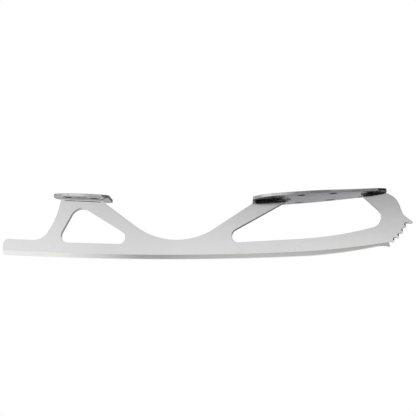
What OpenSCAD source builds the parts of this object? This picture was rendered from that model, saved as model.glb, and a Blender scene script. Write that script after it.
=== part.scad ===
// Figure skate blade: a runner with two cut-out stanchions and toe picks, brazed to a heel plate
// and a sole plate. X runs from the tail to the toe, Z is up from the ice and y = 0 is the middle
// of the blade's thickness. Lengths are in millimetres and angles in degrees.

/* [Tail and runner] */
// Thickness of the blade
blade_t = 4; // [3.4:0.1:5]
// Rear end of the tail
tail_x = -154.4; // [-165:0.1:-148]
// Depth of the tail above the running edge
tail_depth = 12.2; // [10:0.1:14]
// Radius of the tail's upper corner
tail_top_r = 4.5; // [2:0.1:6]
// Radius of the tail's lower corner
tail_low_r = 2.5; // [1:0.1:4]
// Height of that corner above the running edge, before it is rounded
tail_low_rise = 0.6; // [0.4:0.1:1.5]
// Slope of the tail's underside in front of that corner
tail_low_slope = 27; // [20:1:40]
// Place where the tail turns up into the heel stanchion
tail_root_x = -124.5; // [-127:0.1:-122]
// Radius of that turn
tail_root_r = 13; // [8:0.5:16]
// Depth of the runner under the heel opening
runner_depth = 11.5; // [9:0.1:14]
// Radius of the arch between the heel stanchion and the sole stanchion
arch_r = 51.5; // [42:0.5:58]

/* [Running edge] */
// Radius of the long rocker
rocker_r = 2134; // [1800:1:2450]
// Place of the rocker's lowest point
rocker_x = -24; // [-40:0.5:0]
// Radius of the spin rocker behind the picks
spin_r = 390; // [350:1:450]
// Place where the spin rocker starts
spin_x = 73; // [60:0.5:85]
// Angle between the two rockers where they meet
spin_break = 0.8; // [0.5:0.1:1.5]
// Radius of the hollow ground into the edge
hollow_r = 11.1; // [8:0.1:20]
// Height of the ground band that has no chrome
band_h = 3.5; // [3:0.1:5]
// Radius of the band's line under the toe
band_front_r = 690; // [550:5:750]
// Depth of the ground band below the chromed side
band_cut = 0.12; // [0.05:0.01:0.3]

/* [Heel stanchion] */
// Middle of the heel plate along the blade
heel_x = -94.5; // [-97:0.1:-92]
// Height of the heel plate's underside at its middle
heel_h = 46; // [43:0.1:50]
// Slope of the heel plate
heel_tilt = -3; // [-5:0.1:-1]
// Rear end of the stanchion's top, from the middle of the plate
heel_top_rear = -15.8; // [-18:0.1:-14]
// Front end of the stanchion's top, from the middle of the plate
heel_top_front = 14.1; // [12:0.1:18]
// Length of the tenon in the heel plate
heel_tenon = 20; // [12:0.5:22]
// Depth below the plate of the bend in the stanchion's rear edge
heel_bend_depth = 15.9; // [14:0.1:18]
// Run of the rear edge from its top to that bend
heel_bend_run = 3.1; // [2:0.1:4]
// Radius of that bend
heel_bend_r = 55; // [20:1:60]
// Slope of the stanchion's front edge
heel_front_slope = 37.1; // [34:0.1:40]
// Slope of the opening's rear edge
window_rear_slope = 61.3; // [58:0.1:66]
// Slope of the opening's front edge
window_front_slope = 31.9; // [30:0.1:34]
// Place of the opening's unrounded top corner, from the middle of the plate
window_top_at = -3; // [-4:0.1:0]
// Depth of that corner below the plate
window_top_depth = 4.3; // [3.5:0.1:7]
// Radius of the opening's top
window_top_r = 8.8; // [6:0.1:10]
// Radius of the opening's lower corners
window_low_r = 5; // [3:0.1:6]

/* [Sole stanchions] */
// Middle of the sole plate along the blade
sole_x = 84.5; // [83:0.1:86]
// Height of the sole plate's underside at its middle
sole_h = 46.6; // [44:0.1:49]
// Slope of the sole plate
sole_tilt = 3.8; // [2.5:0.1:5]
// Rear end of the rear stanchion's top, from the middle of the plate
rear_top_rear = -48.6; // [-49.8:0.1:-46]
// Front end of the rear stanchion's top, from the middle of the plate
rear_top_front = -21; // [-24:0.1:-18]
// Length of the tenon of the rear stanchion
rear_tenon = 16; // [10:0.5:18]
// Slope of the rear stanchion's rear edge
rear_leg_slope = 33.3; // [31:0.1:36]
// Slope of the rear stanchion's front edge
rear_leg_in_slope = 29; // [27:0.1:31]
// Rear end of the front stanchion's top, from the middle of the plate
front_top_rear = 31.1; // [29:0.1:33]
// Front end of the front stanchion's top, from the middle of the plate
front_top_front = 50.2; // [48:0.1:50.2]
// Length of the tenon of the front stanchion
front_tenon = 12; // [8:0.5:14]
// Slope of the front stanchion's rear edge
front_leg_in_slope = 41.9; // [38:0.1:46]
// Radius at the rear end of the sole opening
sole_window_rear_r = 4.8; // [3:0.1:6]
// Radius at the front end of the sole opening
sole_window_front_r = 7.8; // [6:0.1:9]
// Place of the bend in the sole opening's floor
floor_bend_x = 97; // [92:0.5:100]
// Depth of the runner at that bend
floor_bend_depth = 12.4; // [11:0.1:14]
// Radius of that bend
floor_bend_r = 270; // [150:5:280]
// Slope of the floor behind the bend
floor_rear_slope = 3.1; // [2:0.1:4.5]
// Slope of the floor in front of the bend
floor_front_slope = 14.5; // [13:0.1:17]

/* [Toe picks] */
// Run of the toe in front of the sole stanchion's top, to its bend
toe_run = 7.7; // [6.5:0.1:9]
// Depth of that bend below the plate
toe_depth = 4; // [2.5:0.1:5]
// Radius of that bend
toe_r = 14; // [8:0.5:15]
// Middle of the circle that the small picks lie on, along the blade
pick_x = 121.4; // [120:0.1:123]
// Middle of the circle that the small picks lie on, above the ice
pick_z = 38.4; // [37:0.1:40]
// Radius of the circle through the roots of the picks
pick_root_r = 29.2; // [28.6:0.1:29.6]
// Height of a small pick's tip above that circle
pick_height = 2.6; // [1.8:0.1:3]
// Angle from a small pick's upper root to its tip
pick_lean = 4.6; // [3.5:0.1:5.5]
// Height of a small pick's shoulder above that circle
pick_shoulder = 1.2; // [0.8:0.1:1.5]
// Angle from a small pick's upper root to its shoulder
pick_shoulder_lean = 0.7; // [0.3:0.1:1.2]
// Radius of a small pick's shoulder and tip
pick_r = 0.6; // [0.3:0.1:0.7]
// Number of small picks
pick_count = 4; // [3:1:4]
// Angle from one small pick to the next
pick_pitch = 8.95; // [8.2:0.05:9.2]
// Angle of the first root below the level
pick_start = 23; // [22:0.1:24]
// Radius of the hollow bevel on both sides of a small pick's shoulder
pick_bevel = 1.3; // [0.8:0.1:1.5]
// Reach of the top pick in front of the circle's middle
top_pick_reach = 33; // [32:0.1:34]
// Drop of the top pick's underside below the circle's middle
top_pick_drop = 11.5; // [11:0.1:12]
// Height of the top pick's blunt end
top_pick_end = 1.1; // [0.9:0.1:1.6]
// Radius of that end's edges
top_pick_r = 0.4; // [0.1:0.1:0.4]
// Distance of the hollow above the top pick from the circle's middle
toe_hollow_reach = 26.5; // [25.5:0.1:27.5]
// Angle of that hollow below the level
toe_hollow_angle = 11; // [9:0.1:13]
// Radius of that hollow
toe_hollow_r = 5; // [3:0.1:7]
// Lean of the drag pick's front edge
drag_lean = 8.5; // [4:0.1:14]
// Place where the hollow behind the drag pick starts
drag_hollow_x = 129; // [127:0.1:130]
// Radius of the hollow behind the drag pick
drag_hollow_r = 15.5; // [14:0.5:20]
// Depth of that hollow where it starts
drag_hollow_cut = 0.05; // [0.03:0.01:0.1]

/* [Plates] */
// Thickness of both plates
plate_t = 2.2; // [1.8:0.1:3]
// Length of the heel plate
heel_len = 43; // [41:0.5:47]
// Greatest width of the heel plate
heel_w = 40.5; // [39:0.5:46]
// Place of that width, from the middle of the plate
heel_wide_at = 3; // [0:0.5:6]
// Radius of the heel plate's sides there
heel_side_r = 40; // [20:1:60]
// Width of the heel plate's front end
heel_front_w = 38; // [35:0.5:39]
// Radius of the heel plate's front corners
heel_front_r = 6; // [3:0.5:8]
// Width of the heel plate's rear end
heel_rear_w = 16; // [12:0.5:20]
// Radius of the corners of that end
heel_rear_r = 9; // [5:0.5:10]
// Length of the heel plate's shoulder at the rear
heel_shoulder_run = 11; // [9:0.5:12]
// Distance of the shoulder's front corner inside the greatest width
heel_shoulder_in = 2.5; // [1.5:0.1:4]
// Radius of that corner
heel_shoulder_r = 18; // [10:0.5:18]
// Length of the sole plate
sole_len = 100.6; // [100.2:0.1:106]
// Greatest width of the sole plate
sole_w = 66; // [62:0.5:70]
// Place of that width, from the middle of the plate
sole_wide_at = -24; // [-28:0.5:-20]
// Radius of the sole plate's sides there
sole_wide_r = 60; // [30:1:80]
// Width of the sole plate at its middle, where its sides start to close in
sole_middle_w = 63; // [58:0.5:68]
// Radius of the sides there
sole_middle_r = 60; // [40:1:80]
// Width of the sole plate where its sides turn straight on to the toe
sole_toe_w = 44; // [42:0.5:48]
// Place of that turn, from the middle of the plate
sole_toe_at = 27; // [24:0.5:30]
// Radius of that turn
sole_toe_r = 60; // [30:1:80]
// Width of the sole plate's front end
sole_front_w = 23; // [18:0.5:26]
// Length of the slanted corners of that end
sole_nose_run = 6; // [5:0.5:8]
// Width of the sole plate where those corners start
sole_nose_w = 37; // [36:0.5:40]
// Radius at both ends of those corners
sole_nose_r = 8; // [3:0.5:8]
// Width of the sole plate's rear end
sole_rear_w = 38; // [32:0.5:44]
// Radius of the corners of that end
sole_rear_r = 10; // [5:0.5:10]
// Length of the sole plate's shoulder at the rear
sole_shoulder_run = 9; // [8:0.5:11]
// Distance of the shoulder's front corner inside the greatest width
sole_shoulder_in = 2; // [1.5:0.1:4]
// Radius of that corner
sole_shoulder_r = 13; // [8:0.5:14]

/* [Screw holes and brazing] */
// Diameter of the screw holes and width of the adjusting slots
hole_d = 4.4; // [3.6:0.1:5]
// Diameter of the countersinks
sink_d = 7.2; // [6:0.1:7.6]
// Length of the adjusting slots
slot_len = 9; // [7:0.5:11]
// Distance between neighbours among the heel plate's four screw holes
heel_hole_spacing = 20; // [18:0.5:22]
// Distance across the heel plate between its two slots
heel_slot_spacing = 24; // [22:0.5:28]
// Places of the rows of screw holes, from the middle of the sole plate
sole_hole_at = [-35, -14, 9.5, 43]; // [-46:0.5:46]
// Distance across the sole plate between the two screw holes of each row
sole_hole_spacing = [50, 48, 42, 27]; // [20:0.5:54]
// Places of the rows of slots, from the middle of the sole plate
sole_slot_at = [-26, 33]; // [-30:0.5:36]
// Distance across the sole plate between the two slots of each row
sole_slot_spacing = [27, 28]; // [24:0.5:32]
// Gap around a tenon that the brazing fills
braze_gap = 0.1; // [0.05:0.01:0.2]
// Leg of the brazing beads
bead_leg = 2; // [1:0.1:2.5]
// Radius of the beads' hollow face
bead_r = 2.6; // [2:0.1:5]
// Depth of the beads at the ends where they thin out
bead_end = 0.4; // [0.2:0.1:0.8]
// Length over which the heel beads thin out to the rear
heel_bead_taper = 3; // [2:0.5:10]
// Length over which the rear sole beads thin out to the rear
rear_bead_taper = 2; // [2:0.5:10]
// Length over which the front sole beads thin out to the toe
front_bead_taper = 11; // [6:0.5:14]

/* [Hidden] */

$fn = 96;
rocker_fn = 2880;
hollow_fn = 240;
// Stock below the running edge that grinding takes off, and how far a cutter runs past a face
stock = 3;
over = 1;
// How far each rocker's cut runs on past the place where the two meet
run_on = 3;
// How far a rounded corner's end laps over the straight cut, as a share of the corner's depth
lap = 0.1;
// How far a rounded corner's circle reaches over the edges that it joins, so that it crosses them
graze = 0.003;
// A corner that turns by less than this angle stays as it is
least_turn = 2;
// Tenons end just below the plates' upper faces
tenon_h = plate_t - braze_gap;

// Arcs in the side view, each with its middle and radius: the long rocker, then the spin rocker and
// the ground band's line under the toe, which both leave the long rocker at spin_x
rocker_arc = [[rocker_x, rocker_r], rocker_r];
spin_arc = [toe_arc_middle(spin_r), spin_r];
band_arc = [toe_arc_middle(band_front_r), band_front_r];
function toe_arc_middle(r) =
  let (slope = arc_slope(rocker_arc, spin_x) + spin_break)
  [spin_x - r * sin(slope), arc_z(rocker_arc, spin_x) + r * cos(slope)];

// Slope and height of such an arc at x
function arc_slope(arc, x) = asin((x - arc[0][0]) / arc[1]);
function arc_z(arc, x) = arc[0][1] - arc[1] * cos(arc_slope(arc, x));

// Height of the running edge at x
function edge_z(x) = arc_z(x < spin_x ? rocker_arc : spin_arc, x);

// Point of the side view at a distance along a plate from its middle and a height above its underside
function on_slope(x, z, tilt, along, up) =
  [x + along * cos(tilt) - up * sin(tilt), z + along * sin(tilt) + up * cos(tilt)];
function on_heel(along, up = 0) = on_slope(heel_x, heel_h, heel_tilt, along, up);
function on_sole(along, up = 0) = on_slope(sole_x, sole_h, sole_tilt, along, up);

// Point at a distance from the middle of the picks' circle and an angle below the level
function on_picks(r, angle) = [pick_x + r * cos(angle), pick_z - r * sin(angle)];

// Point where a line through p at angle a meets a line through q at angle b
function meet(p, a, q, b) =
  let (d = q - p)
  p + (d[0] * sin(b) - d[1] * cos(b)) / sin(b - a) * [cos(a), sin(a)];

// A corner of an outline: its point, and the radius that rounds it
function corner(p, r = 0) = [p[0], p[1], r];
function point(c) = [c[0], c[1]];

// Top of a stanchion with its tenon, as distances along the plate and heights above its underside
function stanchion_top(front, rear, tenon) =
  let (middle = (front + rear) / 2)
  [
    [front, 0],
    [middle + tenon / 2, 0],
    [middle + tenon / 2, tenon_h],
    [middle - tenon / 2, tenon_h],
    [middle - tenon / 2, 0],
    [rear, 0]
  ];

// Area inside an outline of corners that runs anticlockwise, each corner rounded to a true arc.
// Each rounded corner is first cut straight across. What then lies between the cut and the arc is
// put back where the corner bulges and taken out where it recedes.
module rounded_area(corners) {
  n = len(corners);
  rounded = [for (i = [0:n - 1]) if (is_round(i)) i];
  function way(i, step) =
    let (v = point(corners[(i + n + step) % n]) - point(corners[i]))
    v / norm(v);
  function half_angle(i) = acos(way(i, -1) * way(i, 1)) / 2;
  function is_round(i) = corners[i][2] > 0 && 180 - 2 * half_angle(i) > least_turn;
  function touch(i, step) = point(corners[i]) + corners[i][2] / tan(half_angle(i)) * way(i, step);
  function bulges(i) = cross(way(i, -1), way(i, 1)) < 0;

  module round_end(i) {
    tip = point(corners[i]);
    cut = (touch(i, -1) + touch(i, 1)) / 2;
    intersection() {
      polygon([touch(i, -1), tip, touch(i, 1), cut + lap * (cut - tip)]);
      translate(tip + (cut - tip) / cos(half_angle(i)) ^ 2) circle(corners[i][2] + graze);
    }
  }

  difference() {
    union() {
      polygon([
        for (i = [0:n - 1])
          each is_round(i) ? [touch(i, -1), touch(i, 1)] : [point(corners[i])]
      ]);
      for (i = rounded)
        if (bulges(i)) round_end(i);
    }
    for (i = rounded)
      if (!bulges(i)) round_end(i);
  }
}

// Side view of the blade with the stock still on: under the runner to the toe, up over the picks,
// and back along the tops of the stanchions to the tail
last_root = pick_start + pick_pitch * pick_count;
floor_bend = [floor_bend_x, edge_z(floor_bend_x) + floor_bend_depth];
tail_low = [tail_x, edge_z(tail_x) + tail_low_rise];
blade_corners = [
  corner(tail_low, tail_low_r),
  corner(meet(tail_low, -tail_low_slope, [0, -stock], 0)),
  corner(meet(on_picks(pick_root_r, last_root), drag_lean - 90, [0, -stock], 0)),
  corner(on_picks(pick_root_r, last_root)),
  for (i = [pick_count - 1:-1:0])
    let (root = pick_start + pick_pitch * i)
      each [
        corner(on_picks(pick_root_r + pick_height, root + pick_lean), pick_r),
        corner(on_picks(pick_root_r + pick_shoulder, root + pick_shoulder_lean), pick_r),
        corner(on_picks(pick_root_r, root))
      ],
  corner([pick_x + top_pick_reach, pick_z - top_pick_drop], top_pick_r),
  corner([pick_x + top_pick_reach, pick_z - top_pick_drop + top_pick_end], top_pick_r),
  corner(on_picks(toe_hollow_reach, toe_hollow_angle), toe_hollow_r),
  corner(on_sole(front_top_front + toe_run, -toe_depth), toe_r),
  for (p = stanchion_top(front_top_front, front_top_rear, front_tenon))
    corner(on_sole(p[0], p[1])),
  corner(
    meet(floor_bend, floor_front_slope, on_sole(front_top_rear), -front_leg_in_slope),
    sole_window_front_r),
  corner(floor_bend, floor_bend_r),
  corner(
    meet(floor_bend, floor_rear_slope, on_sole(rear_top_front), rear_leg_in_slope),
    sole_window_rear_r),
  for (p = stanchion_top(rear_top_front, rear_top_rear, rear_tenon))
    corner(on_sole(p[0], p[1])),
  corner(
    meet(on_sole(rear_top_rear), rear_leg_slope, on_heel(heel_top_front), -heel_front_slope),
    arch_r),
  for (p = stanchion_top(heel_top_front, heel_top_rear, heel_tenon))
    corner(on_heel(p[0], p[1])),
  corner(on_heel(heel_top_rear - heel_bend_run, -heel_bend_depth), heel_bend_r),
  corner([tail_root_x, edge_z(tail_root_x) + tail_depth], tail_root_r),
  corner([tail_x, edge_z(tail_x) + tail_depth], tail_top_r)
];

// Opening in the heel stanchion
window_top = on_heel(window_top_at, -window_top_depth);
window_floor = [heel_x, edge_z(heel_x) + runner_depth];
window_floor_slope = arc_slope(rocker_arc, heel_x);
window_corners = [
  corner(meet(window_floor, window_floor_slope, window_top, window_rear_slope), window_low_r),
  corner(meet(window_floor, window_floor_slope, window_top, -window_front_slope), window_low_r),
  corner(window_top, window_top_r)
];

// Sweeps a section along an arc under the blade, from one place to another
module along_arc(arc, from_x, to_x) {
  from = arc_slope(arc, from_x);
  translate([arc[0][0], 0, arc[0][1]])
    rotate([90, 0, 0])
      rotate([0, 0, from - 90])
        rotate_extrude(angle = arc_slope(arc, to_x) - from, $fn = rocker_fn)
          children();
}

// Section of the wheel that grinds the hollow, on an arc
module hollow_section(arc) {
  half_t = blade_t / 2 - band_cut;
  translate([arc[1] + sqrt(hollow_r ^ 2 - half_t ^ 2), 0])
    circle(hollow_r, $fn = hollow_fn);
}

// Section of the two cuts that bare the ground band, on an arc
module band_section(arc) {
  for (side = [0, 1])
    mirror([0, side])
      translate([arc[1] - band_h, blade_t / 2 - band_cut])
        square([band_h + hollow_r, band_cut + over]);
}

// The ground band below the chromed sides, under the long rocker and then under the toe
module band_cuts() {
  along_arc(rocker_arc, tail_x - over, spin_x + run_on)
    band_section(rocker_arc);
  along_arc(band_arc, spin_x - run_on, on_picks(pick_root_r, last_root)[0] + over)
    band_section(band_arc);
}

// Hollow behind the drag pick, in line with the spin rocker where it starts
module drag_hollow() {
  slope = arc_slope(spin_arc, drag_hollow_x);
  drop = drag_hollow_r - drag_hollow_cut;
  translate([drag_hollow_x + drop * sin(slope), 0, edge_z(drag_hollow_x) - drop * cos(slope)])
    rotate([90, 0, 0])
      cylinder(r = drag_hollow_r, h = blade_t + 2 * over, center = true);
}

// Bevels on both sides of the small picks, each a cone about the pick's shoulder
module pick_bevels() {
  for (i = [0:pick_count - 1], side = [-1, 1]) {
    root = pick_start + pick_pitch * i;
    shoulder = on_picks(pick_root_r + pick_shoulder, root + pick_shoulder_lean);
    translate([shoulder[0], side * blade_t / 2, shoulder[1]])
      rotate([-side * 90, 0, 0])
        translate([0, 0, -pick_bevel])
          cylinder(r1 = 0, r2 = pick_bevel + over, h = pick_bevel + over);
  }
}

// The blade before its edge is ground
module unground_blade() {
  difference() {
    rotate([90, 0, 0])
      linear_extrude(blade_t, center = true)
        difference() {
          rounded_area(blade_corners);
          rounded_area(window_corners);
        }
    band_cuts();
  }
}

// The blade with its long rocker. This cut and the next run on into what the other takes off.
module rocker_ground() {
  difference() {
    unground_blade();
    along_arc(rocker_arc, tail_x - over, spin_x + run_on)
      hollow_section(rocker_arc);
  }
}

// The blade with both rockers
module spin_ground() {
  difference() {
    rocker_ground();
    along_arc(spin_arc, spin_x - run_on, drag_hollow_x)
      hollow_section(spin_arc);
  }
}

module blade() {
  color("gainsboro")
    difference() {
      spin_ground();
      drag_hollow();
      pick_bevels();
    }
}

// Places a plate or a bead by the plate's middle, with the plate's underside at z = 0
module at_heel() {
  translate([heel_x, 0, heel_h]) rotate([0, -heel_tilt, 0]) children();
}
module at_sole() {
  translate([sole_x, 0, sole_h]) rotate([0, -sole_tilt, 0]) children();
}

// Outline of a plate from its right half, which runs from the rear to the front
function both_halves(half) = concat(
  [for (c = half) [c[0], -c[1], c[2]]],
  [for (i = [len(half) - 1:-1:0]) half[i]]
);

heel_outline = both_halves([
  [-heel_len / 2, heel_rear_w / 2, heel_rear_r],
  [-heel_len / 2 + heel_shoulder_run, heel_w / 2 - heel_shoulder_in, heel_shoulder_r],
  [heel_wide_at, heel_w / 2, heel_side_r],
  [heel_len / 2, heel_front_w / 2, heel_front_r]
]);

sole_outline = both_halves([
  [-sole_len / 2, sole_rear_w / 2, sole_rear_r],
  [-sole_len / 2 + sole_shoulder_run, sole_w / 2 - sole_shoulder_in, sole_shoulder_r],
  [sole_wide_at, sole_w / 2, sole_wide_r],
  [0, sole_middle_w / 2, sole_middle_r],
  [sole_toe_at, sole_toe_w / 2, sole_toe_r],
  [sole_len / 2 - sole_nose_run, sole_nose_w / 2, sole_nose_r],
  [sole_len / 2, sole_front_w / 2, sole_nose_r]
]);

// Slot in a plate for a stanchion's tenon
module tenon_slot(front, rear, tenon) {
  translate([(front + rear) / 2, 0])
    square([tenon + 2 * braze_gap, blade_t + 2 * braze_gap], center = true);
}

// Long hole that lets the screw be set before the round holes are drilled
module adjusting_slot() {
  run = slot_len - hole_d;
  square([run, hole_d], center = true);
  for (side = [-1, 1])
    translate([side * run / 2, 0]) circle(d = hole_d);
}

// Screw hole with its countersink in the underside
module screw_hole() {
  sink_depth = (sink_d - hole_d) / 2;
  translate([0, 0, -over])
    cylinder(d = hole_d, h = plate_t + 2 * over);
  translate([0, 0, -over])
    cylinder(d1 = sink_d + 2 * over, d2 = hole_d, h = sink_depth + over);
}

module heel_plate() {
  color("silver")
    at_heel()
      difference() {
        linear_extrude(plate_t)
          difference() {
            rounded_area(heel_outline);
            tenon_slot(heel_top_front, heel_top_rear, heel_tenon);
            for (side = [-1, 1])
              translate([0, side * heel_slot_spacing / 2]) adjusting_slot();
          }
        for (x = [-1, 1], y = [-1, 1])
          translate([x, y] * heel_hole_spacing / 2) screw_hole();
      }
}

module sole_plate() {
  color("silver")
    at_sole()
      difference() {
        linear_extrude(plate_t)
          difference() {
            rounded_area(sole_outline);
            tenon_slot(rear_top_front, rear_top_rear, rear_tenon);
            tenon_slot(front_top_front, front_top_rear, front_tenon);
            for (i = [0:len(sole_slot_at) - 1], side = [-1, 1])
              translate([sole_slot_at[i], side * sole_slot_spacing[i] / 2])
                rotate(90) adjusting_slot();
          }
        for (i = [0:len(sole_hole_at) - 1], side = [-1, 1])
          translate([sole_hole_at[i], side * sole_hole_spacing[i] / 2]) screw_hole();
      }
}

// Bead of brazing metal in the corner between a plate and one side of a stanchion. It thins out over
// the taper from one of its places, its tip, towards the other, its root.
module bead(root, tip, taper, side) {
  away = (bead_leg + sqrt(2 * bead_r ^ 2 - bead_leg ^ 2)) / 2;
  way = sign(root - tip);
  slope = (bead_leg - bead_end) / taper;
  color("lightgray")
    mirror([0, side == "right" ? 1 : 0, 0])
      difference() {
        translate([min(root, tip), blade_t / 2, 0])
          rotate([90, 0, 90])
            linear_extrude(abs(root - tip))
              difference() {
                polygon([[0, 0], [0, -bead_leg], [bead_leg, 0]]);
                translate([away, -away]) circle(bead_r);
              }
        translate([0, blade_t / 2 + bead_leg / 2, 0])
          rotate([90, 0, 0])
            linear_extrude(bead_leg + 2 * over, center = true)
              polygon([
                [tip - way * over, -bead_end + slope * over],
                [tip + way * (taper + over), -bead_leg - slope * over],
                [tip - way * over, -bead_leg - slope * over]
              ]);
      }
}

module heel_braze(side) {
  at_heel() bead(heel_top_front, heel_top_rear, heel_bead_taper, side);
}

// The stanchion's slanting front edge leaves the plate, so the bead ends short of it
module rear_braze(side) {
  short = bead_leg / tan(rear_leg_in_slope - sole_tilt);
  at_sole() bead(rear_top_front - short, rear_top_rear, rear_bead_taper, side);
}

// The stanchion's slanting rear edge leaves the plate, so the bead starts past it
module front_braze(side) {
  short = bead_leg / tan(front_leg_in_slope + sole_tilt);
  at_sole() bead(front_top_rear + short, front_top_front, front_bead_taper, side);
}

blade();
heel_plate();
sole_plate();
heel_braze("left");  // heel_braze_left
heel_braze("right");  // heel_braze_right
rear_braze("left");  // rear_braze_left
rear_braze("right");  // rear_braze_right
front_braze("left");  // front_braze_left
front_braze("right");  // front_braze_right
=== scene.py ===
"""Looks of a figure skate blade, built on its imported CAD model, in metres and in the CAD model's frame."""
import math

import bpy
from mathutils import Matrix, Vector

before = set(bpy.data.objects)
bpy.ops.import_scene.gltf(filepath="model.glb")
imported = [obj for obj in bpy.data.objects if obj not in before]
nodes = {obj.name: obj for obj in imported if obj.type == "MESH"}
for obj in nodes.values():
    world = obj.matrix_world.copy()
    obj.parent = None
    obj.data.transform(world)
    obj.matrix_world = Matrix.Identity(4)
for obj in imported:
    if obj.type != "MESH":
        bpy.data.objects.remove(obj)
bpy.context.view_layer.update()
scene = bpy.context.scene

# Camera: a little below the ice level, looking slightly up and across the blade
CAMERA_AIM = Vector((0.00062, 0.0, 0.03901))
CAMERA_DISTANCE = 1.05
CAMERA_TURN = math.radians(1.7)
CAMERA_DROP = math.radians(6.1)
CAMERA_SENSOR_MM = 36.0
CAMERA_LENS_MM = 120.2
CAMERA_CLIP_START = 0.01

# Ground band: a half thickness between its own and the chromed sides', and a height above all of it
BAND_HALF_THICKNESS = 0.00194
EDGE_TOP = 0.0135

# Running edge: the long rocker, the spin rocker that takes over from it, and the width of the honed line,
# which is painted bright as a painted highlight
ROCKER_MIDDLE = Vector((-0.024, 0.0, 2.134))
ROCKER_RADIUS = 2.134
SPIN_FROM = 0.073
SPIN_RADIUS = 0.39
SPIN_BREAK = math.radians(0.8)
HONED_WIDTH = 0.0004

# Where the toe and its picks begin
TOE_FROM = 0.1
PICKS_FROM = 0.13

# Parts of a face's normal: along an axis it is square to, upwards in the hollow, sideways on bevels
SQUARE_TO = 0.95
HOLLOW_UPWARDS = -0.8
BEVEL_SIDEWAYS, BEVEL_LEEWAY = 0.7, 0.22

# How far polish has rounded edges, how far crisp ones are rounded, and which way the polished ones face
WORN_RADIUS = 0.0015
CRISP_RADIUS = 0.00015
LEAST_FORWARD, MOST_UPWARDS = 0.02, 0.05

# Painted reflection: how bright the ground steel is painted along the band, bright at the tail and darker in
# the middle, in stops over its reach, and the honed line painted bright as a highlight
BAND_REACH = (-0.155, 0.125)
BAND_PAINTED_REFLECTION = [
    (0.016, 0.95), (0.157, 0.92), (0.264, 0.74), (0.371, 0.45), (0.44, 0.45), (0.534, 0.56), (0.696, 0.62),
    (0.857, 0.57), (0.966, 0.53)]
HONED_PAINTED_HIGHLIGHT = 0.93

# Tints of the ground steel, of both tones of the plates' chrome, and of the ground behind the blade
NO_TINT = (1.0, 1.0, 1.0)
STEEL_TINT = (1.0, 1.01, 0.965)
DULL_TINT = (0.99, 0.99, 1.0)
BRIGHT_TINT = (1.0, 1.0, 1.01)
BACK_TINT = (0.98, 0.97, 1.0)

# Plates: middle of the underside, slope, and the screw holes on one side with their countersinks
HEEL_PLACE = Vector((-0.0945, 0.0, 0.046))
HEEL_TILT = math.radians(-3.0)
HEEL_HOLES = [(0.01, 0.01), (-0.01, 0.01)]
SOLE_PLACE = Vector((0.0845, 0.0, 0.0466))
SOLE_TILT = math.radians(3.8)
SOLE_HOLES = [(-0.035, 0.025), (-0.014, 0.024), (0.0095, 0.021), (0.043, 0.0135)]
SINK_RADIUS = 0.0037

# Range that most of a noise lies in
NOISE_RANGE = (0.3, 0.7)


def gray(value, tint=NO_TINT):
    return (value * tint[0], value * tint[1], value * tint[2], 1.0)


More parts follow.
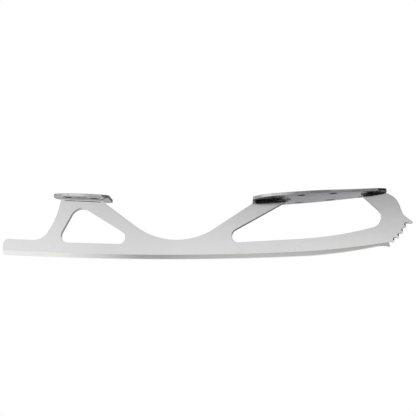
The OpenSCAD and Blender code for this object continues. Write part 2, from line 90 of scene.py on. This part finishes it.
class Graph:
    """A node tree that is written as calls, most of which give back the new node's output."""

    def __init__(self, tree):
        self.tree = tree
        tree.nodes.clear()

    def add(self, kind, inputs=None, **settings):
        """The new node itself, with values or links on its inputs."""
        node = self.tree.nodes.new(kind)
        for key, value in settings.items():
            setattr(node, key, value)
        for key, value in (inputs or {}).items():
            if isinstance(value, bpy.types.NodeSocket):
                self.tree.links.new(value, node.inputs[key])
            else:
                node.inputs[key].default_value = value
        return node

    def math(self, operation, a, b=0.5, c=0.5):
        return self.add("ShaderNodeMath", {0: a, 1: b, 2: c}, operation=operation).outputs[0]

    def size(self, value):
        return self.math("ABSOLUTE", value)

    def above(self, value, limit):
        return self.math("GREATER_THAN", value, limit)

    def below(self, value, limit):
        return self.math("LESS_THAN", value, limit)

    def both(self, a, b):
        return self.math("MULTIPLY", a, b)

    def either(self, a, b):
        return self.math("MAXIMUM", a, b)

    def distance(self, a, b):
        return self.add("ShaderNodeVectorMath", {0: a, 1: b}, operation="DISTANCE").outputs["Value"]

    def scaled(self, vector, scale):
        return self.add("ShaderNodeVectorMath", {0: vector, 3: scale}, operation="SCALE").outputs[0]

    def mix_value(self, factor, a, b):
        return self.add("ShaderNodeMix", {0: factor, 2: a, 3: b}, data_type="FLOAT").outputs[0]

    def mix_vector(self, factor, a, b):
        return self.add("ShaderNodeMix", {0: factor, 4: a, 5: b}, data_type="VECTOR").outputs[1]

    def mix_color(self, factor, a, b):
        return self.add("ShaderNodeMix", {0: factor, 6: a, 7: b}, data_type="RGBA").outputs[2]

    def noise(self, vector, scale=1.0, detail=2.0, roughness=0.5):
        return self.add(
            "ShaderNodeTexNoise",
            {"Vector": vector, "Scale": scale, "Detail": detail, "Roughness": roughness}).outputs["Fac"]

    def place(self):
        return self.add("ShaderNodeTexCoord").outputs["Object"]

    def geometry(self, output):
        return self.add("ShaderNodeNewGeometry").outputs[output]

    def seen_from(self, vector, place, turn):
        """The vector in the axes of a place that is turned about the Y axis."""
        return self.add(
            "ShaderNodeMapping", {"Vector": vector, "Location": place, "Rotation": (0.0, turn, 0.0)},
            vector_type="TEXTURE").outputs[0]

    def stretched(self, vector, scale):
        return self.add("ShaderNodeMapping", {"Vector": vector, "Scale": scale}).outputs[0]

    def span(self, value, low, high, to_low=0.0, to_high=1.0):
        """The value carried from one range to another, and held at its ends."""
        return self.add(
            "ShaderNodeMapRange", {0: value, 1: low, 2: high, 3: to_low, 4: to_high}).outputs[0]

    def spread(self, noise, to_low=0.0, to_high=1.0):
        """A noise carried to a range."""
        return self.span(noise, *NOISE_RANGE, to_low, to_high)

    def ramp(self, value, stops, tint=NO_TINT):
        """A smooth run of gray levels through stops of position and level."""
        node = self.add("ShaderNodeValToRGB", {0: value})
        elements = node.color_ramp.elements
        while len(elements) < len(stops):
            elements.new(0.5)
        for element, (position, tone) in zip(elements, stops):
            element.position = position
            element.color = gray(tone, tint)
        return node.outputs[0]

    def axes(self, vector):
        return self.add("ShaderNodeSeparateXYZ", {0: vector}).outputs

    def joined(self, x=0.0, y=0.0, z=0.0):
        return self.add("ShaderNodeCombineXYZ", {0: x, 1: y, 2: z}).outputs[0]

    def rounded(self, radius, samples):
        return self.add("ShaderNodeBevel", {"Radius": radius}, samples=samples).outputs[0]

    def bump(self, height, strength, distance, normal=None):
        inputs = {"Strength": strength, "Distance": distance, "Height": height}
        if normal is not None:
            inputs["Normal"] = normal
        return self.add("ShaderNodeBump", inputs).outputs[0]

    def surface(self, shader):
        self.add("ShaderNodeOutputMaterial", {"Surface": shader})

    def metal(self, color, rough, normal):
        self.surface(self.add(
            "ShaderNodeBsdfPrincipled",
            {"Base Color": color, "Metallic": 1.0, "Roughness": rough, "Normal": normal}).outputs[0])

    def clear_from_behind(self, shader):
        clear = self.add("ShaderNodeBsdfTransparent").outputs[0]
        behind = self.geometry("Backfacing")
        return self.add("ShaderNodeMixShader", {0: behind, 1: shader, 2: clear}).outputs[0]


def new_material(name):
    material = bpy.data.materials.new(name)
    material.use_nodes = True
    return material, Graph(material.node_tree)


def spin_middle():
    """Middle of the spin rocker, which leaves the long rocker at a slight angle."""
    slope = math.asin((SPIN_FROM - ROCKER_MIDDLE.x) / ROCKER_RADIUS)
    start = ROCKER_MIDDLE + ROCKER_RADIUS * Vector((math.sin(slope), 0.0, -math.cos(slope)))
    turned = slope + SPIN_BREAK
    return start + SPIN_RADIUS * Vector((-math.sin(turned), 0.0, math.cos(turned)))


def blade_material():
    """Satin chrome, with unplated ground metal on the band along the edge and in the hollow, whose brightness
    along the band is a painted reflection.
    """
    material, g = new_material("satin_chrome_and_ground_edge")
    place = g.place()
    axes = g.axes(place)
    facing = g.axes(g.geometry("True Normal"))

    # Where the steel is bare: the recessed band, and the hollow under it
    low = g.below(axes[2], EDGE_TOP)
    on_side = g.above(g.size(facing[1]), SQUARE_TO)
    recessed = g.below(g.size(axes[1]), BAND_HALF_THICKNESS)
    band = g.both(g.both(on_side, recessed), low)
    hollow = g.both(g.below(facing[2], HOLLOW_UPWARDS), low)
    bare_with_painted_light = g.either(band, hollow)

    # The hollow and a honed line along the edge, as far as the picks, are painted near white: honed steel
    # with a painted highlight
    from_side = g.joined(x=axes[0], z=axes[2])
    at_rocker = g.above(g.distance(from_side, ROCKER_MIDDLE), ROCKER_RADIUS - HONED_WIDTH)
    at_spin = g.above(g.distance(from_side, spin_middle()), SPIN_RADIUS - HONED_WIDTH)
    at_edge = g.mix_value(g.above(axes[0], SPIN_FROM), at_rocker, at_spin)
    honed_painted_bright = g.both(g.either(hollow, g.both(band, at_edge)), g.below(axes[0], PICKS_FROM))

    # The conical bevels at the shoulders of the picks are painted dark, as a painted dark reflection
    slanted = g.math("COMPARE", g.size(facing[1]), BEVEL_SIDEWAYS, BEVEL_LEEWAY)
    painted_dark_bevel = g.both(slanted, g.above(axes[0], PICKS_FROM))

    # Grain: cloudy polish and fine lines on the chrome, long grinding lines on the bare steel
    cloud = g.noise(place, scale=60.0, detail=3.0)
    brushed = g.noise(g.stretched(place, (300.0, 900.0, 2600.0)), detail=3.0, roughness=0.6)
    ground = g.noise(g.stretched(place, (25.0, 4000.0, 6000.0)), detail=4.0, roughness=0.65)
    speck = g.noise(place, scale=1800.0)

    tone = g.math("ADD", g.spread(cloud, 0.25, 0.75), g.spread(brushed, -0.25, 0.25))
    chrome = g.mix_color(tone, gray(0.785), gray(0.845))
    chrome_rough = g.math("ADD", g.spread(cloud, 0.13, 0.16), g.spread(speck, -0.015, 0.015))
    # Painted reflection: the ground steel's colour is painted bright at the tail and darker in the middle,
    # and near white on the honed line as a painted highlight
    band_painted_light = g.mix_color(
        honed_painted_bright, g.ramp(g.span(axes[0], *BAND_REACH), BAND_PAINTED_REFLECTION, STEEL_TINT), gray(HONED_PAINTED_HIGHLIGHT))
    steel_with_painted_light = g.scaled(band_painted_light, g.spread(ground, 0.95, 1.07))
    steel_rough = g.spread(ground, 0.14, 0.2)
    # Painted dark reflection for the pick bevels
    bevel_painted_dark = g.mix_color(speck, gray(0.1), gray(0.2))

    # Edges: crisp, but for those behind the toe that face forward and not up, which polish has rounded
    sharp = g.either(low, g.above(axes[0], TOE_FROM))
    worn = g.rounded(g.mix_value(sharp, WORN_RADIUS, CRISP_RADIUS), samples=8)
    turned = g.axes(worn)
    polished = g.both(g.above(turned[0], LEAST_FORWARD), g.below(turned[2], MOST_UPWARDS))
    normal = g.mix_vector(polished, g.geometry("Normal"), worn)

    lines = g.math("MULTIPLY_ADD", brushed, 0.6, g.math("MULTIPLY", speck, 0.4))
    relief = g.mix_value(bare_with_painted_light, lines, ground)
    color = g.mix_color(painted_dark_bevel, g.mix_color(bare_with_painted_light, chrome, steel_with_painted_light), bevel_painted_dark)
    rough = g.mix_value(painted_dark_bevel, g.mix_value(bare_with_painted_light, chrome_rough, steel_rough), 0.35)
    g.metal(color, rough, g.bump(relief, strength=0.1, distance=0.00002, normal=normal))
    return material


def plate_material(name, middle, tilt, holes, tones):
    """Bright chrome on pressed sheet: faint waves, wipe marks, smudges, and countersinks painted dark as a
    painted dark reflection.
    """
    material, g = new_material(name)
    place = g.seen_from(g.place(), middle, -tilt)
    axes = g.axes(place)
    facing = g.axes(g.seen_from(g.geometry("True Normal"), (0.0, 0.0, 0.0), -tilt))

    # The slopes of the countersinks, which are alike on both sides: bare steel, painted dark as a painted
    # dark reflection
    one_side = g.joined(x=axes[0], y=g.size(axes[1]))
    in_hole = 0.0
    for hole in holes:
        in_hole = g.either(in_hole, g.below(g.distance(one_side, (*hole, 0.0)), SINK_RADIUS))
    bare_with_painted_light = g.both(in_hole, g.below(g.size(facing[2]), SQUARE_TO))

    smudge = g.noise(place, scale=45.0, detail=4.0, roughness=0.6)
    wipe = g.noise(g.stretched(place, (500.0, 2200.0, 900.0)), detail=3.0, roughness=0.6)
    wave = g.noise(place, scale=28.0, detail=1.0)

    dull, bright = tones
    chrome = g.mix_color(g.spread(smudge), gray(dull, DULL_TINT), gray(bright, BRIGHT_TINT))
    chrome_rough = g.math("ADD", g.span(smudge, 0.35, 0.75, 0.04, 0.1), g.spread(wipe, 0.0, 0.03))
    # Painted dark reflection in the countersinks
    steel_with_painted_light = g.mix_color(wipe, gray(0.1), gray(0.16))
    steel_rough = g.spread(wipe, 0.3, 0.45)

    fine = g.bump(wipe, strength=0.05, distance=0.00002, normal=g.rounded(0.0004, samples=6))
    wavy = g.bump(wave, strength=0.25, distance=0.0003, normal=fine)
    g.metal(g.mix_color(bare_with_painted_light, chrome, steel_with_painted_light), g.mix_value(bare_with_painted_light, chrome_rough, steel_rough), wavy)
    return material


def braze_material(name, tones, rough):
    """Brazing metal: a slightly lumpy, flowed surface."""
    material, g = new_material(name)
    place = g.place()
    lump = g.noise(place, scale=220.0)
    speck = g.noise(place, scale=2500.0)
    dark, light = tones
    color = g.mix_color(g.spread(lump), gray(dark), gray(light))
    g.metal(color, g.spread(speck, *rough), g.bump(lump, strength=0.3, distance=0.0003))
    return material


def dress(node, material):
    materials = nodes[node].data.materials
    materials.clear()
    materials.append(material)


dress("blade", blade_material())
dress("heel_plate", plate_material(
    "bright_chrome_heel", HEEL_PLACE, HEEL_TILT, HEEL_HOLES, tones=(0.58, 0.68)))
dress("sole_plate", plate_material(
    "bright_chrome_sole", SOLE_PLACE, SOLE_TILT, SOLE_HOLES, tones=(0.64, 0.72)))
chromed_braze = braze_material("chromed_brazing", tones=(0.68, 0.76), rough=(0.03, 0.06))
# The beads at the sole's legs are the same brazing, painted dark as a painted dark reflection
braze_painted_dark = braze_material("brazing_painted_dark", tones=(0.12, 0.2), rough=(0.08, 0.14))
for side in ("left", "right"):
    dress(f"heel_braze_{side}", chromed_braze)
    dress(f"rear_braze_{side}", braze_painted_dark)
    dress(f"front_braze_{side}", braze_painted_dark)


def stage_card(name, corners, material, only_reflected=True):
    """A flat card of the stage with these four corners, which as a rule only the metal shows."""
    mesh = bpy.data.meshes.new(name)
    mesh.from_pydata(corners, [], [(0, 1, 2, 3)])
    mesh.materials.append(material)
    card = bpy.data.objects.new(name, mesh)
    scene.collection.objects.link(card)
    if only_reflected:
        card.visible_camera = False
        card.visible_diffuse = False
        card.visible_shadow = False
        card.visible_transmission = False


def lying(x, y, height):
    """Corners of a level rectangle."""
    return [(x[0], y[0], height), (x[1], y[0], height), (x[1], y[1], height), (x[0], y[1], height)]


def standing(start, end, low, high):
    """Corners of an upright rectangle over a line from start to end."""
    return [(*start, low), (*end, low), (*end, high), (*start, high)]


# Pale floor just under the ice level. Seen from below, as by the camera, it lets the view through.
FLOOR_REACH = (-6.0, 6.0)
FLOOR_LEVEL = -0.0003
floor_paint, g = new_material("pale_floor")
floor_grain = g.noise(g.place(), scale=35.0, detail=3.0)
floor_tone = g.mix_color(floor_grain, gray(0.84), gray(0.88))
g.surface(g.clear_from_behind(g.add("ShaderNodeBsdfDiffuse", {"Color": floor_tone}).outputs[0]))
stage_card("floor", lying(FLOOR_REACH, FLOOR_REACH, FLOOR_LEVEL), floor_paint, only_reflected=False)


def glow_material(name, low, high, stops, along=None, one_sided=False):
    """A card's paint, whose level runs through stops while Y, or another value, goes from low to high."""
    material, g = new_material(name)
    axes = g.axes(g.place())
    value = along(g, axes) if along else axes[1]
    level = g.ramp(g.span(value, low, high), stops)
    glow = g.add("ShaderNodeEmission", {"Color": gray(1.0), "Strength": level}).outputs[0]
    g.surface(g.clear_from_behind(glow) if one_sided else glow)
    return material


def ground_material(name, low, high, stops, zones, tint=NO_TINT):
    """A card's paint, whose level runs through stops along Y, with other stops in further zones along X."""
    half_step = 0.012
    material, g = new_material(name)
    axes = g.axes(g.place())
    along = g.span(axes[1], low, high)
    color = g.ramp(along, stops, tint)
    for start, zone_stops in zones:
        step = g.span(axes[0], start - half_step, start + half_step)
        color = g.mix_color(step, color, g.ramp(along, zone_stops, tint))
    g.surface(g.add("ShaderNodeEmission", {"Color": color}).outputs[0])
    return material


def up_and_right(g, axes):
    """Grows upwards, faster to the right and near the top there, and is raised in a low patch on the left."""
    dark_from, growth_to_right = 0.12, 1.36
    top_from, top_growth, top_reach = 0.226, 4.0, (-0.2, 0.05)
    patch_x, patch_rise, patch_reach, patch_heights = -0.19, 0.036, (0.04, 0.12), (0.14, 0.19)

    x, height = axes[0], axes[2]
    level = g.math(
        "MULTIPLY", g.math("SUBTRACT", height, dark_from), g.math("MULTIPLY_ADD", x, growth_to_right, 1.0))
    over_top = g.either(g.math("SUBTRACT", height, top_from), 0.0)
    level = g.math("MULTIPLY_ADD", over_top, g.span(x, *top_reach, 0.0, top_growth), level)
    rise = g.span(g.size(g.math("SUBTRACT", x, patch_x)), *patch_reach, patch_rise, 0.0)
    return g.math("MULTIPLY_ADD", rise, g.span(height, *patch_heights, 1.0, 0.0), level)


# In front, the room is darker upwards, and more so to the right, up to an even gray
FRONT_Y = -1.5
FRONT_LEFT, FRONT_RIGHT = (-3.0, FRONT_Y), (3.0, FRONT_Y)
FRONT_TOP, UPPER_TOP = 0.38, 4.0
front_stops = [
    (0.0, 1.0), (0.167, 0.99), (0.208, 0.935), (0.333, 0.78), (0.433, 0.645), (0.517, 0.555), (0.6, 0.49),
    (0.7, 0.38), (0.833, 0.3), (1.0, 0.25)]
stage_card(
    "front_card", standing(FRONT_LEFT, FRONT_RIGHT, 0.0, FRONT_TOP),
    glow_material("front_card", -0.05, 0.25, front_stops, along=up_and_right))
stage_card(
    "upper_card", standing(FRONT_LEFT, FRONT_RIGHT, FRONT_TOP, UPPER_TOP),
    glow_material("upper_card", -2.0, -1.0, [(0.0, 0.68), (1.0, 0.72)]))

# The right side is dark, but for its front, and the left side is gray
RIGHT_X, LEFT_X = 1.0, -2.0
SIDES_FROM_Y = -1.4
right_stops = [(0.0, 0.24), (0.32, 0.2), (0.5, 0.03), (1.0, 0.02)]
stage_card(
    "right_card", standing((RIGHT_X, SIDES_FROM_Y), (RIGHT_X, 1.5), 0.0, 0.26),
    glow_material("right_card", SIDES_FROM_Y, 0.0, right_stops))
left_stops = [(0.0, 0.95), (0.25, 0.9), (0.45, 0.5), (1.0, 0.5)]
stage_card(
    "left_card", standing((LEFT_X, SIDES_FROM_Y), (LEFT_X, 2.5), 0.0, 1.5),
    glow_material("left_card", SIDES_FROM_Y, 2.5, left_stops))

# The ground before the blade is light with two dark strips under the heel, the one right at the blade a
# painted shadow of it, and mostly dark under the sole
GROUND_REACH = (-1.99, 0.99)
heel_front = [
    (0.0, 0.85), (0.45, 0.85), (0.55, 0.04), (0.88, 0.04), (0.92, 0.8), (0.976, 0.8), (0.984, 0.04),
    (1.0, 0.04)]
sole_front = [(0.0, 0.03), (0.5, 0.03), (0.62, 0.25), (0.9, 0.25), (0.94, 0.03), (1.0, 0.03)]
stage_card(
    "front_ground", lying(GROUND_REACH, (-1.0, -0.001), 0.0),
    ground_material("front_ground", -0.5, 0.0, heel_front, [(-0.02, sole_front)]))

# The ground behind is white close by. Further back it is gray behind the heel, dark behind the waist,
# and gray between dark and light strips behind the sole.
heel_back = [(0.0, 1.0), (0.1, 0.9), (0.102, 0.5), (1.0, 0.4)]
waist_back = [(0.0, 1.0), (0.1, 0.9), (0.102, 0.03), (1.0, 0.02)]
sole_back = [
    (0.0, 1.0), (0.1, 0.9), (0.102, 0.06), (0.334, 0.06), (0.379, 0.36), (0.496, 0.36), (0.541, 0.8),
    (0.622, 0.8), (0.703, 0.03), (1.0, 0.02)]
stage_card(
    "back_ground", lying(GROUND_REACH, (0.001, 1.2), 0.0),
    ground_material(
        "back_ground", 0.0, 1.0, heel_back, [(-0.11, waist_back), (0.025, sole_back)], BACK_TINT))

# Behind, to the right of the heel, the room is gray, and so is what stands close to the heel's right end
ROOM_Y = 2.4
WAIST_HALF_WIDTH = 0.3
stage_card(
    "room_card", standing((0.05, ROOM_Y), (RIGHT_X, ROOM_Y), 0.0, 0.8),
    glow_material("room_card", 0.0, 3.0, [(0.0, 0.2), (1.0, 0.15)]))
stage_card(
    "waist_card", standing((0.0, WAIST_HALF_WIDTH), (0.0, -WAIST_HALF_WIDTH), 0.05, 0.12),
    glow_material(
        "waist_card", -WAIST_HALF_WIDTH, WAIST_HALF_WIDTH, [(0.0, 0.25), (1.0, 0.15)], one_sided=True))


def soft_lamp(name, place, size, power):
    """A softbox above the blade that lights the scene and doesn't show in the metal."""
    aim = Vector((0.0, 0.0, 0.02))
    lamp = bpy.data.lights.new(name, "AREA")
    lamp.shape = "RECTANGLE"
    lamp.size, lamp.size_y = size
    lamp.energy = power
    holder = bpy.data.objects.new(name, lamp)
    scene.collection.objects.link(holder)
    holder.location = place
    holder.visible_glossy = False
    holder.rotation_euler = (aim - Vector(place)).to_track_quat("-Z", "Y").to_euler()


soft_lamp("key_softbox", place=(-0.8, -0.9, 1.5), size=(1.8, 1.4), power=22.0)
soft_lamp("fill_softbox", place=(0.9, 0.9, 1.5), size=(1.8, 1.8), power=14.0)

# White surroundings for the view and for what the metal shows, a plain level for the light
world = bpy.data.worlds.new("studio")
scene.world = world
world.use_nodes = True
g = Graph(world.node_tree)
ray = g.add("ShaderNodeLightPath").outputs
seen = g.either(ray["Is Camera Ray"], g.either(ray["Is Glossy Ray"], ray["Is Transmission Ray"]))
sky = g.add("ShaderNodeBackground", {"Color": gray(1.0), "Strength": g.mix_value(seen, 0.5, 1.0)})
g.add("ShaderNodeOutputWorld", {"Surface": sky.outputs[0]})

camera_data = bpy.data.cameras.new("camera")
camera_data.sensor_width = CAMERA_SENSOR_MM
camera_data.lens = CAMERA_LENS_MM
camera_data.clip_start = CAMERA_CLIP_START
camera = bpy.data.objects.new("camera", camera_data)
scene.collection.objects.link(camera)
away = Vector((
    math.sin(CAMERA_TURN) * math.cos(CAMERA_DROP),
    -math.cos(CAMERA_TURN) * math.cos(CAMERA_DROP),
    -math.sin(CAMERA_DROP)))
camera.location = CAMERA_AIM + CAMERA_DISTANCE * away
camera.rotation_euler = (-away).to_track_quat("-Z", "Y").to_euler()
scene.camera = camera
scene.view_settings.view_transform = "Standard"

bpy.context.view_layer.update()
